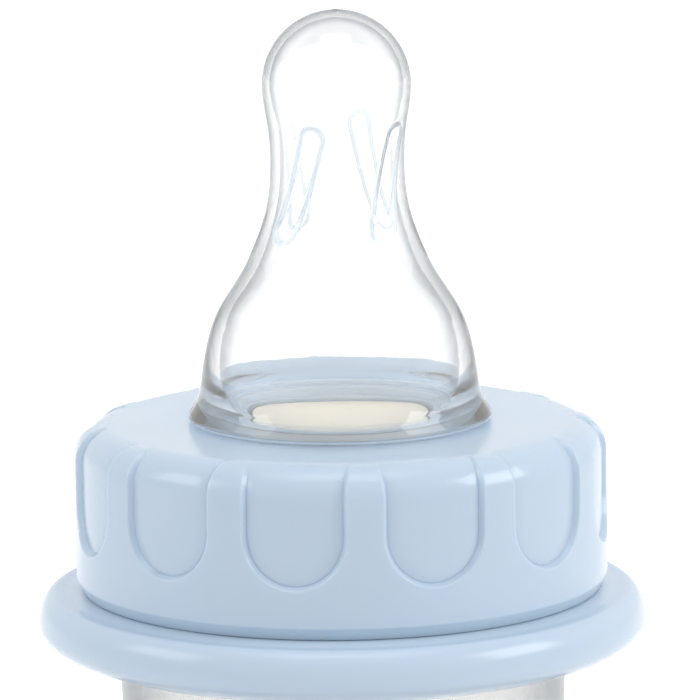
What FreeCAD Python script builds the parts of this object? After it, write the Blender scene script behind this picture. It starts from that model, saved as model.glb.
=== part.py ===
"""Baby bottle with a silicone teat, a screw ring, a collar and a sealing disc.

Millimetres, +Z up, origin at the centre of the foot that the bottle stands on. The bottle, the
collar, the ring, the disc and the teat are turned about the Z axis. The ring and the neck carry
a single-start right-hand thread, so the ring rises by one lead for each anticlockwise turn.
"""

import FreeCAD
import Part
import math
import os

# --- Bottle body -------------------------------------------------------------------------------
bottle_height = 140.0  # foot to rim
body_radius = 30.0
body_wall = 1.3
base_rise = 3.5  # how far the middle of the base is pushed up
foot_inner_radius = 21.5  # inside of the flat ring that the bottle stands on
base_corner = 5.0  # radius between the foot and the barrel
waist_depth = 2.4  # how far the grip waist is drawn in
waist_bottom = 38.0
waist_top_drop = 48.0  # rim down to where the waist ends
shoulder_drop = 45.5  # rim down to where the barrel starts to close
neck_drop = 25.0  # rim down to the foot of the neck
neck_ledge = 1.7  # step at the foot of the neck

# --- Neck and thread ---------------------------------------------------------------------------
neck_radius = 20.0  # outside, between the thread's turns
neck_wall = 1.6
thread_lead = 4.0
thread_height = 1.1
thread_clearance = 0.35  # crest to root, on each side
neck_thread_root = 2.2  # width of the thread where it stands on the neck
neck_thread_crest = 1.2
neck_thread_turns = 1.5
neck_thread_drop = 1.9  # rim down to the middle of the thread's upper end
snap_bead_radius = 0.8  # half-round bead on the neck that holds the collar

# --- Screw ring --------------------------------------------------------------------------------
ring_height = 15.0
ring_top_wall = 1.8
ring_skirt_wall = 2.55
ring_corner = 2.95  # round between the skirt and the flat top
ring_foot_bevel_width = 0.6
ring_foot_bevel_height = 1.1
ring_hole_edge = 0.4
ring_thread_root = 1.9
ring_thread_crest = 1.0
ring_thread_turns = 2.0
ring_thread_rise = 1.4  # foot of the ring up to the middle of the thread's lower end
recess_count = 12
recess_half_width = 4.48
recess_depth = 0.5
recess_length = 10.5  # flat top down to the lowest point of each recess
recess_phase = -100.0  # direction of the first recess, degrees from +X

# --- Collar ------------------------------------------------------------------------------------
collar_gap = 0.3  # skirt of the ring down to the collar
collar_crown = 2.75  # flat top down to the widest edge
collar_belly = 2.65  # widest edge down to the flat underside
collar_overhang = 3.45  # how far the widest edge stands out past the ring
collar_top_margin = 1.8  # how far the flat top reaches past the ring
collar_underside_margin = 1.3  # how far the flat underside reaches past the neck
collar_clearance = 0.15  # collar on neck

# --- Teat, heights above the flat top of the ring ----------------------------------------------
teat_height = 37.0
bulb_radius = 6.67
waist_radius = 6.06
waist_height = 25.2
stem_radius = 6.3
stem_height = 19.85
flare_radius = 8.24
flare_height = 14.4
crown_radius = 11.34
crown_height = 9.0
cone_radius = 12.5  # at the sharp edge above the foot, and in the groove
cone_height = 3.6
foot_lip = 1.15  # how far the foot stands out over the ring's hole
foot_edge_height = 1.4
bulb_wall = 0.7
stem_wall = 0.9
cone_wall = 1.2
foot_bore_radius = 10.55  # inside the thick foot
foot_bore_height = 1.2  # where the cone's inside has drawn in to it
step_depth = 0.75  # inward step below it
step_height = 0.25
throat_radius = 9.1
throat_drop = 0.85  # flat top of the ring down to where the throat starts
flange_thickness = 1.5
feed_hole_radius = 0.3
vent_hole_radius = 0.4
vent_position = 16.0
pad_count = 4
pad_length = 10.8
pad_width = 2.0
pad_thickness = 0.3
pad_lean = 15.0  # degrees from upright
pad_middle_height = 21.8
pad_phase = -127.0  # direction of the first pad, degrees from +X

# --- Sealing disc ------------------------------------------------------------------------------
disc_thickness = 1.2
disc_lip_length = 2.4
disc_lip_wall = 0.9
disc_lip_clearance = 0.4  # lip in neck
disc_boss_clearance = 0.4  # boss in throat
disc_boss_drop = 1.45  # flat top of the ring down to the boss's face

# --- Fits --------------------------------------------------------------------------------------
seat_clearance = 0.2  # face to face, between pieces that move apart
hole_clearance = 0.3  # teat's groove in the ring's hole
flange_clearance = 0.35  # teat's flange and the disc past the ring's thread
root_overlap = 0.3  # how deep a thread's root runs into its wall

# --- Places that follow from the sizes above ---------------------------------------------------
rim = bottle_height
disc_bottom = rim + seat_clearance
disc_top = disc_bottom + disc_thickness
flange_top = disc_top + flange_thickness
ring_underside = flange_top + seat_clearance
ring_top = ring_underside + ring_top_wall
ring_bottom = ring_top - ring_height
collar_top = ring_bottom - collar_gap
collar_edge_height = collar_top - collar_crown
collar_bottom = collar_edge_height - collar_belly
bore_radius = neck_radius + thread_height + thread_clearance
ring_radius = bore_radius + ring_skirt_wall
ring_crest_radius = bore_radius - thread_height
flange_radius = ring_crest_radius - flange_clearance
neck_bore = neck_radius - neck_wall
collar_radius = ring_radius + collar_overhang
foot_radius = cone_radius + foot_lip
hole_radius = cone_radius + hole_clearance
waist_top = rim - waist_top_drop
neck_thread_start = rim - neck_thread_drop - thread_lead * neck_thread_turns

UP = FreeCAD.Vector(0, 0, 1)
ORIGIN = FreeCAD.Vector(0, 0, 0)


def at(radius, height):
    """A point of an outline: distance from the axis, and height."""
    return FreeCAD.Vector(radius, 0, height)


def line(start, end):
    """A straight edge of an outline."""
    return Part.LineSegment(start, end).toShape()


def arc(start, middle, end):
    """A round edge through three points of an outline."""
    return Part.Arc(start, middle, end).toShape()


def round_corner(centre, radius, start_angle, end_angle):
    """A round edge about a centre, its angles in degrees from the outward direction."""
    angles = [start_angle, (start_angle + end_angle) / 2, end_angle]
    points = [centre + rotated(radius, angle) for angle in angles]
    return arc(*points)


def quarter_ellipse(centre, long_end, short_end):
    """A quarter of an ellipse between the ends of its long and its short half-axis."""
    return Part.ArcOfEllipse(Part.Ellipse(long_end, short_end, centre), 0, math.pi / 2).toShape()


def rotated(length, angle):
    """A step of a length in an outline's plane, at an angle from the outward direction."""
    return at(length * math.cos(math.radians(angle)), length * math.sin(math.radians(angle)))


def curve(points, start_direction, end_direction):
    """A smooth edge through points, with the directions it starts and ends in."""
    spline = Part.BSplineCurve()
    spline.interpolate(Points=points, InitialTangent=start_direction, FinalTangent=end_direction)
    return spline.toShape()


def turned(edges):
    """The solid that a closed outline sweeps in a full turn about the Z axis."""
    face = Part.Face(Part.Wire(edges))
    return face.revolve(ORIGIN, UP, 360)


def polygon(points):
    """The straight edges of a closed outline."""
    return [line(start, end) for start, end in zip(points, points[1:] + points[:1])]


def polar_copies(shape, count, phase):
    """Copies of a shape that lies along +X, evenly spaced about the Z axis."""
    copies = []
    for index in range(count):
        copy = shape.copy()
        copy.rotate(ORIGIN, UP, phase + index * 360 / count)
        copies.append(copy)
    return copies


def helical_rib(root_radius, crest_radius, root_width, crest_width, turns, start, over_x):
    """A thread's rib that climbs anticlockwise from a start height.

    Its path is the one that crosses the +X direction at the height over_x, so two ribs whose
    heights over +X differ by half a lead run midway between each other's turns.
    """
    helix = Part.makeHelix(thread_lead, thread_lead * turns, root_radius)
    helix.translate(FreeCAD.Vector(0, 0, start))
    section = Part.Wire(
        polygon(
            [
                at(root_radius, start - root_width / 2),
                at(crest_radius, start - crest_width / 2),
                at(crest_radius, start + crest_width / 2),
                at(root_radius, start + root_width / 2),
            ]
        )
    )
    rib = Part.Wire(helix).makePipeShell([section], True, True)
    rib.rotate(ORIGIN, UP, 360 * (start - over_x) / thread_lead)
    return rib


def bottle_outline(wall, collar_side):
    """The edges from the middle of the base to the rim, drawn in by a wall."""
    barrel = body_radius - wall
    corner = base_corner - wall
    corner_middle = at(body_radius - base_corner, base_corner)
    shoulder = rim - shoulder_drop
    neck_foot = rim - neck_drop
    waist_middle = (waist_bottom + waist_top) / 2
    dome_end = at(foot_inner_radius, wall)
    dome_middle = at(foot_inner_radius / 2, wall + 0.8 * base_rise)
    ledge_radius = collar_side + neck_ledge
    corner_start = at(body_radius - base_corner, wall)
    edges = [
        arc(at(0, wall + base_rise), dome_middle, dome_end),
        line(dome_end, corner_start),
        round_corner(corner_middle, corner, -90, 0),
        line(at(barrel, base_corner), at(barrel, waist_bottom)),
        curve(
            [at(barrel, waist_bottom), at(barrel - waist_depth, waist_middle), at(barrel, waist_top)],
            UP,
            UP,
        ),
        line(at(barrel, waist_top), at(barrel, shoulder)),
        curve(
            [at(barrel, shoulder), at(ledge_radius, neck_foot)],
            UP,
            FreeCAD.Vector(-2, 0, 1),
        ),
        line(at(ledge_radius, neck_foot), at(collar_side, neck_foot + neck_ledge / 2)),
        line(at(collar_side, neck_foot + neck_ledge / 2), at(collar_side, rim)),
    ]
    return edges


def make_bottle_body():
    """The blown bottle, with its thread and the bead that holds the collar."""
    outside = bottle_outline(0, neck_radius)
    inside = bottle_outline(body_wall, neck_bore)
    rim_face = line(at(neck_radius, rim), at(neck_bore, rim))
    middle = line(at(0, base_rise + body_wall), at(0, base_rise))
    shell = turned(outside + [rim_face] + inside[::-1] + [middle])
    thread = helical_rib(
        neck_radius - root_overlap,
        neck_radius + thread_height,
        neck_thread_root,
        neck_thread_crest,
        neck_thread_turns,
        neck_thread_start,
        neck_thread_start,
    )
    bead = Part.makeTorus(neck_radius, snap_bead_radius, at(0, (collar_top + collar_bottom) / 2))
    return shell.fuse([thread, bead.cut(turned(neck_void()))]).removeSplitter()


def neck_void():
    """The outline of the space inside the neck."""
    return polygon([at(0, rim - neck_drop), at(neck_bore, rim - neck_drop), at(neck_bore, rim), at(0, rim)])


def make_collar():
    """The collar under the ring: rounded out to a blunt edge, and snapped over the neck's bead."""
    inner = neck_radius + collar_clearance
    top_radius = ring_radius + collar_top_margin
    underside_radius = neck_radius + collar_underside_margin
    middle = (collar_top + collar_bottom) / 2
    widest = at(collar_radius, collar_edge_height)
    top_edge = at(top_radius, collar_top)
    underside_edge = at(underside_radius, collar_bottom)
    body = turned(
        [
            line(at(inner, collar_bottom), underside_edge),
            quarter_ellipse(at(underside_radius, collar_edge_height), widest, underside_edge),
            quarter_ellipse(at(top_radius, collar_edge_height), top_edge, widest),
            line(top_edge, at(inner, collar_top)),
            line(at(inner, collar_top), at(inner, collar_bottom)),
        ]
    )
    groove = Part.makeTorus(neck_radius, snap_bead_radius + collar_clearance, at(0, middle))
    return body.cut(groove)


def make_recess_cutter():
    """What the grip recesses take from the ring: a skin cut to round-ended slots."""
    floor_radius = ring_radius - recess_depth
    corner_centre = at(floor_radius - ring_corner, ring_top - ring_corner)
    outside = ring_radius + 1
    skin = turned(
        [
            line(at(floor_radius, ring_bottom), at(floor_radius, ring_top - ring_corner)),
            round_corner(corner_centre, ring_corner, 0, 90),
            line(at(floor_radius - ring_corner, ring_top), at(floor_radius - ring_corner, ring_top + 1)),
            line(at(floor_radius - ring_corner, ring_top + 1), at(outside, ring_top + 1)),
            line(at(outside, ring_top + 1), at(outside, ring_bottom)),
            line(at(outside, ring_bottom), at(floor_radius, ring_bottom)),
        ]
    )
    end_height = ring_top - recess_length + recess_half_width
    reach = ring_corner + 2
    slot = Part.makeBox(
        reach,
        2 * recess_half_width,
        ring_top + 1 - end_height,
        FreeCAD.Vector(outside - reach, -recess_half_width, end_height),
    )
    round_end = Part.makeCylinder(
        recess_half_width, reach, at(outside - reach, end_height), FreeCAD.Vector(1, 0, 0)
    )
    return skin.common(slot.fuse(round_end))


def make_screw_ring():
    """The ring that clamps the teat to the rim, with its grip recesses and its thread."""
    top_edge = ring_radius - ring_corner
    foot_edge = at(ring_radius - ring_foot_bevel_width, ring_bottom)
    skirt_end = at(ring_radius, ring_bottom + ring_foot_bevel_height)
    hole_centre = at(hole_radius + ring_hole_edge, ring_top - ring_hole_edge)
    blank = turned(
        [
            line(at(bore_radius, ring_bottom), foot_edge),
            line(foot_edge, skirt_end),
            line(skirt_end, at(ring_radius, ring_top - ring_corner)),
            round_corner(at(top_edge, ring_top - ring_corner), ring_corner, 0, 90),
            line(at(top_edge, ring_top), at(hole_radius + ring_hole_edge, ring_top)),
            round_corner(hole_centre, ring_hole_edge, 90, 180),
            line(at(hole_radius, ring_top - ring_hole_edge), at(hole_radius, ring_underside)),
            line(at(hole_radius, ring_underside), at(bore_radius, ring_underside)),
            line(at(bore_radius, ring_underside), at(bore_radius, ring_bottom)),
        ]
    )
    thread = helical_rib(
        bore_radius + root_overlap,
        ring_crest_radius,
        ring_thread_root,
        ring_thread_crest,
        ring_thread_turns,
        ring_bottom + ring_thread_rise,
        neck_thread_start - thread_lead / 2,
    )
    ring = blank.fuse(thread)
    return ring.cut(polar_copies(make_recess_cutter(), recess_count, recess_phase)).removeSplitter()


def teat_outline(bulb_skin, stem_skin, cone_skin, lowest, last_direction):
    """The teat's edges from the tip down to the lowest point, drawn in by a skin."""
    radius = bulb_radius - bulb_skin
    centre = at(0, ring_top + teat_height - bulb_radius)
    equator = centre + at(radius, 0)
    side = [
        equator,
        at(waist_radius - stem_skin, ring_top + waist_height),
        at(stem_radius - stem_skin, ring_top + stem_height),
        at(flare_radius - cone_skin, ring_top + flare_height),
        at(crown_radius - cone_skin, ring_top + crown_height),
        lowest,
    ]
    edges = [
        round_corner(centre, radius, 90, 0),
        curve(side, FreeCAD.Vector(0, 0, -1), last_direction),
    ]
    return edges


def teat_void_edges(extra):
    """The teat's inner surface from the tip to its flange, drawn in further by an extra skin."""
    inner = foot_bore_radius - extra
    bore_top = at(inner, ring_top + foot_bore_height)
    step = ring_top + step_height
    throat = ring_top - throat_drop
    skins = (bulb_wall + extra, stem_wall + extra, cone_wall + extra)
    edges = teat_outline(*skins, bore_top, FreeCAD.Vector(-0.25, 0, -1))
    corners = [
        bore_top,
        at(inner, step),
        at(inner - step_depth, step),
        at(inner - step_depth, throat),
        at(throat_radius - extra, throat),
        at(throat_radius - extra, disc_top),
    ]
    edges += [line(start, end) for start, end in zip(corners, corners[1:])]
    return edges


def teat_void(extra):
    """The space inside the teat, made smaller by an extra skin."""
    tip = ring_top + teat_height - bulb_wall - extra
    closing = [
        line(at(throat_radius - extra, disc_top), at(0, disc_top)),
        line(at(0, disc_top), at(0, tip)),
    ]
    return turned(teat_void_edges(extra) + closing)


def make_pads(void):
    """The raised pads inside the teat's stem, all leaning the same way."""
    height = ring_top + pad_middle_height
    straight = pad_length - pad_width
    reach = waist_radius + 1
    along = FreeCAD.Vector(1, 0, 0)
    half = pad_width / 2
    bar = Part.makeBox(reach, pad_width, straight, FreeCAD.Vector(0, -half, -straight / 2))
    ends = [Part.makeCylinder(half, reach, at(0, side * straight / 2), along) for side in (-1, 1)]
    pad = bar.fuse(ends)
    pad.rotate(ORIGIN, along, -pad_lean)
    pad.translate(FreeCAD.Vector(waist_radius / 2, 0, height))
    layer = void.cut(teat_void(pad_thickness))
    return [layer.common(copy) for copy in polar_copies(pad, pad_count, pad_phase)]


def make_teat():
    """The silicone teat: bulb, stem, cone, grooved foot and clamped flange, in one moulding."""
    corner = at(cone_radius, ring_top + cone_height)
    foot_edge = at(foot_radius, ring_top + foot_edge_height)
    groove_top = ring_top + seat_clearance
    foot_low = at(foot_radius - 0.25, groove_top)
    bulge = at((cone_radius + foot_radius) / 2 - 0.2, ring_top + (cone_height + foot_edge_height) / 2)
    foot = [
        arc(corner, bulge, foot_edge),
        line(foot_edge, foot_low),
        line(foot_low, at(cone_radius, groove_top)),
        line(at(cone_radius, groove_top), at(cone_radius, flange_top)),
        line(at(cone_radius, flange_top), at(flange_radius, flange_top)),
        line(at(flange_radius, flange_top), at(flange_radius, disc_top)),
        line(at(flange_radius, disc_top), at(0, disc_top)),
        line(at(0, disc_top), at(0, ring_top + teat_height)),
    ]
    outside = turned(teat_outline(0, 0, 0, corner, FreeCAD.Vector(0.12, 0, -1)) + foot)
    void = teat_void(0)
    hollow = outside.cut(void)
    feed_hole = Part.makeCylinder(feed_hole_radius, bulb_radius, at(0, ring_top + teat_height - bulb_radius))
    vent_hole = Part.makeCylinder(vent_hole_radius, 2 * flange_thickness, at(vent_position, disc_top - 0.5))
    return hollow.fuse(make_pads(void)).cut([feed_hole, vent_hole]).removeSplitter()


def make_sealing_disc():
    """The disc between the teat's flange and the rim: a boss above and a centring lip below."""
    lip_outside = neck_bore - disc_lip_clearance
    lip_inside = lip_outside - disc_lip_wall
    lip_bottom = disc_bottom - disc_lip_length
    boss_radius = throat_radius - disc_boss_clearance
    boss_top = ring_top - disc_boss_drop
    return turned(
        polygon(
            [
                at(0, disc_bottom),
                at(lip_inside, disc_bottom),
                at(lip_inside, lip_bottom),
                at(lip_outside, lip_bottom),
                at(lip_outside, disc_bottom),
                at(flange_radius, disc_bottom),
                at(flange_radius, disc_top),
                at(boss_radius, disc_top),
                at(boss_radius, boss_top),
                at(0, boss_top),
            ]
        )
    )


makers = {
    "bottle_body": make_bottle_body,
    "collar": make_collar,
    "screw_ring": make_screw_ring,
    "teat": make_teat,
    "sealing_disc": make_sealing_disc,
}

os.makedirs("parts", exist_ok=True)
for name, maker in makers.items():
    shape = maker()
    print(name, "solids", len(shape.Solids), "valid", shape.isValid(), "volume", round(shape.Volume))
    shape.exportStep("parts/" + name + ".step")
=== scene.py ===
"""Baby bottle: clear silicone teat, pale blue screw ring and collar, cream disc, milky body.

Sizes of the object's own details are dataclass fields in millimetres; places and overall sizes
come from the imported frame. Outlines are (distance from the axis, height) pairs in millimetres.
"""
import logging
import math
from dataclasses import dataclass, field
from enum import Enum
from typing import Callable

import bmesh
import bpy
from mathutils import Matrix, Vector


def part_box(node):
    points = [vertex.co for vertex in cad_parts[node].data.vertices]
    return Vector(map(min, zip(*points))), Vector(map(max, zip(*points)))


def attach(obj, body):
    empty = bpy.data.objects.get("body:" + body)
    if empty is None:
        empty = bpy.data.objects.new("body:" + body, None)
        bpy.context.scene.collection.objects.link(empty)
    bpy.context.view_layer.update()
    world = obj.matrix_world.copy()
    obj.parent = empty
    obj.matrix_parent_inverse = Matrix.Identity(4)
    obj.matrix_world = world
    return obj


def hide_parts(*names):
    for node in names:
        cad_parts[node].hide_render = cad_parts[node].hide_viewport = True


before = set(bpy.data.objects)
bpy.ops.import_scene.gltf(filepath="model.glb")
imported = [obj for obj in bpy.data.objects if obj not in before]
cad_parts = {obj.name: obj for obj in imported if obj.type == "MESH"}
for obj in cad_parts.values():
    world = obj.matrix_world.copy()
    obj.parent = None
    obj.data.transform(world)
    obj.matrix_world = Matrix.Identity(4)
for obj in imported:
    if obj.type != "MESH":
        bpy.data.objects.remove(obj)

MM = 0.001
CUBIC_MM = 1000.0  # in a millilitre
ON_AXIS = 1e-6  # a point nearer to the axis than this, in millimetres, lies on it
SAME_CORNER = 1e-4  # corners nearer to each other than this, in millimetres, are one
TINY = 1e-9
ROUND_SHARE = 0.45  # the most that a corner's round takes of each side next to it
MIX_A, MIX_B, MIX_RESULT = 6, 7, 2  # places of a colour mix's sockets
Outline = list[tuple[float, float]]
Relief = Callable[[float, float], float]

log = logging.getLogger("bottle")


# --- Small tools -------------------------------------------------------------------------------


def node_span(node: str) -> tuple[float, float, float]:
    """Measure a CAD node at rest.

    Args:
        node: Name of the CAD node.

    Returns:
        Its outer radius, lowest height and highest height, in millimetres.
    """
    low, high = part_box(node)
    return (high[0] - low[0]) / 2 / MM, low[2] / MM, high[2] / MM


def arc(
    centre: tuple[float, float], radius: float, start: float, end: float, steps: int, rise: float = 1.0
) -> Outline:
    """Make a round or oval stretch of an outline.

    Args:
        centre: Its centre.
        radius: Its radius, or half its width where it is oval.
        start: First angle, in degrees from the outward direction.
        end: Last angle.
        steps: How many straight steps it takes.
        rise: Its height as a share of its width.

    Returns:
        Its points, both ends included.
    """
    angles = [math.radians(start + (end - start) * i / steps) for i in range(steps + 1)]
    return [(centre[0] + radius * math.cos(a), centre[1] + radius * rise * math.sin(a)) for a in angles]


def straight(start: tuple[float, float], end: tuple[float, float], steps: int) -> Outline:
    """Make a straight stretch of an outline, both ends included, in equal steps."""
    spans = [(a, b - a) for a, b in zip(start, end)]
    return [tuple(a + d * i / steps for a, d in spans) for i in range(steps + 1)]


def softened(corners: Outline, reach: float, steps: int = 4) -> Outline:
    """Round the inner corners of a straight-sided outline.

    Args:
        corners: The outline's corners. Its two ends stay where they are.
        reach: How far from each corner its round starts, at most.
        steps: Steps in each round.

    Returns:
        The points.
    """
    knots = [Vector(corner) for corner in corners]
    points = [tuple(knots[0])]
    for before, corner, after in zip(knots, knots[1:], knots[2:]):
        back, on = before - corner, after - corner
        start = corner + back.normalized() * min(reach, back.length * ROUND_SHARE)
        end = corner + on.normalized() * min(reach, on.length * ROUND_SHARE)
        for i in range(steps + 1):
            t = i / steps
            points.append(tuple(start * (1 - t) ** 2 + corner * 2 * t * (1 - t) + end * t**2))
    return points + [tuple(knots[-1])]


def flowing(points: Outline, first: Vector, last: Vector, steps: int) -> Outline:
    """Make a smooth stretch through points.

    Args:
        points: The points that it passes.
        first: Direction at the first point.
        last: Direction at the last point.
        steps: Steps from one point to the next.

    Returns:
        Its points, both ends included.
    """
    knots = [Vector(p) for p in points]
    spans = [(b - a).length for a, b in zip(knots, knots[1:])]
    slopes = [first.normalized()]
    for i in range(1, len(knots) - 1):
        before = (knots[i] - knots[i - 1]) / spans[i - 1]
        after = (knots[i + 1] - knots[i]) / spans[i]
        slopes.append((before * spans[i] + after * spans[i - 1]) / (spans[i] + spans[i - 1]))
    slopes.append(last.normalized())
    line = [tuple(knots[0])]
    for a, b, da, db, span in zip(knots, knots[1:], slopes, slopes[1:], spans):
        for i in range(1, steps + 1):
            t = i / steps
            blend = a * (2 * t**3 - 3 * t**2 + 1) + b * (3 * t**2 - 2 * t**3)
            pull = da * (t**3 - 2 * t**2 + t) + db * (t**3 - t**2)
            line.append(tuple(blend + pull * span))
    return line


def eased(value: float, low: float, high: float) -> float:
    """Step smoothly from 0 at low to 1 at high."""
    t = min(max((value - low) / (high - low), 0.0), 1.0)
    return t * t * (3 - 2 * t)


def finish_mesh(build: bmesh.types.BMesh, name: str, sharp: float = 40.0) -> bpy.types.Object:
    """Turn a mesh under construction into a smooth-shaded piece at the origin.

    Args:
        build: The mesh, in millimetres. It is used up.
        name: The piece's name.
        sharp: Edges that turn by more than this many degrees stay sharp.

    Returns:
        The new piece.
    """
    bmesh.ops.remove_doubles(build, verts=build.verts, dist=SAME_CORNER)
    bmesh.ops.recalc_face_normals(build, faces=build.faces)
    bmesh.ops.transform(build, matrix=Matrix.Scale(MM, 4), verts=build.verts)
    for face in build.faces:
        face.smooth = True
    for edge in build.edges:
        edge.smooth = not edge.is_manifold or edge.calc_face_angle(0.0) < math.radians(sharp)
    mesh = bpy.data.meshes.new(name)
    build.to_mesh(mesh)
    build.free()
    piece = bpy.data.objects.new(name, mesh)
    bpy.context.scene.collection.objects.link(piece)
    return piece


def ring_of(
    build: bmesh.types.BMesh,
    angles: list[float],
    point: tuple[float, float],
    relief: Relief | None = None,
) -> list:
    """Add one circle of corners to a mesh.

    Args:
        build: The mesh.
        angles: Directions of the corners, in radians.
        point: The circle's radius and height.
        relief: What to add to the radius at an angle and a height.

    Returns:
        The corners.
    """
    radius, height = point
    reaches = [radius + (relief(a, height) if relief else 0.0) for a in angles]
    return [build.verts.new((r * math.cos(a), r * math.sin(a), height)) for r, a in zip(reaches, angles)]


def join_rings(build: bmesh.types.BMesh, lower: list, upper: list) -> None:
    """Fill the band between two circles with the same number of corners."""
    count = len(lower)
    for i in range(count):
        j = (i + 1) % count
        build.faces.new((lower[i], lower[j], upper[j], upper[i]))


def mark(piece: bpy.types.Object, name: str, strength: Callable[[Vector], float]) -> None:
    """Write how strongly something shows at each corner of a piece.

    Args:
        piece: The piece.
        name: The attribute's name, which materials read.
        strength: Tells how strong it is at a place in millimetres, from 0 to 1.
    """
    mesh = piece.data
    layer = mesh.attributes.new(name, "FLOAT", "POINT")
    layer.data.foreach_set("value", [strength(corner.co / MM) for corner in mesh.vertices])


def even_angles(count: int) -> list[float]:
    """List angles in radians that divide a full turn evenly."""
    return [2 * math.pi * i / count for i in range(count)]


def turn(
    name: str, outline: Outline, columns: int, relief: Relief | None = None, relief_from: int = 0
) -> bpy.types.Object:
    """Turn an outline about the Z axis into a closed piece.

    Args:
        name: The piece's name.
        outline: The outline. It starts and ends on the axis, or it is a closed loop off the axis.
        columns: Corners in a full turn.
        relief: What to add to the radius at an angle in radians and a height, in millimetres.
        relief_from: The first point of the outline that the relief applies to.

    Returns:
        The new piece.
    """
    build = bmesh.new()
    angles = even_angles(columns)
    rings = [
        ring_of(build, angles, point, relief if index >= relief_from else None)
        for index, point in enumerate(outline)
        if point[0] >= ON_AXIS
    ]
    for lower, upper in zip(rings, rings[1:]):
        join_rings(build, lower, upper)
    if outline[0][0] < ON_AXIS:
        for (_, height), rim in ((outline[0], rings[0]), (outline[-1], rings[-1])):
            pole = build.verts.new((0, 0, height))
            for i in range(columns):
                build.faces.new((pole, rim[i], rim[(i + 1) % columns]))
    else:
        join_rings(build, rings[-1], rings[0])
    return finish_mesh(build, name)


# --- Finishes ----------------------------------------------------------------------------------


def colour(code: str) -> tuple[float, float, float, float]:
    """Turn an sRGB hex colour into the linear one that shaders take."""
    parts = [int(code[i : i + 2], 16) / 255 for i in (0, 2, 4)]
    linear = [p / 12.92 if p <= 0.04045 else ((p + 0.055) / 1.055) ** 2.4 for p in parts]
    return (*linear, 1.0)


def add_node(
    tree: bpy.types.NodeTree, kind: str, settings: dict | None = None, inputs: dict | None = None
) -> bpy.types.Node:
    """Add a node with its settings and its inputs.

    Args:
        tree: The tree that gets the node.
        kind: The node's type.
        settings: Its properties by name.
        inputs: Its inputs by name or place. A pair of a node and an output's name or place is a
            link, and anything else is a plain value.

    Returns:
        The new node.
    """
    node = tree.nodes.new(kind)
    for key, value in (settings or {}).items():
        setattr(node, key, value)
    for key, value in (inputs or {}).items():
        if isinstance(value, tuple) and isinstance(value[0], bpy.types.Node):
            tree.links.new(value[0].outputs[value[1]], node.inputs[key])
        else:
            node.inputs[key].default_value = value
    return node


def blank_material(name: str) -> tuple[bpy.types.Material, bpy.types.NodeTree]:
    """Make a material whose tree is empty."""
    material = bpy.data.materials.new(name)
    material.use_nodes = True
    material.node_tree.nodes.clear()
    return material, material.node_tree


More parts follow.
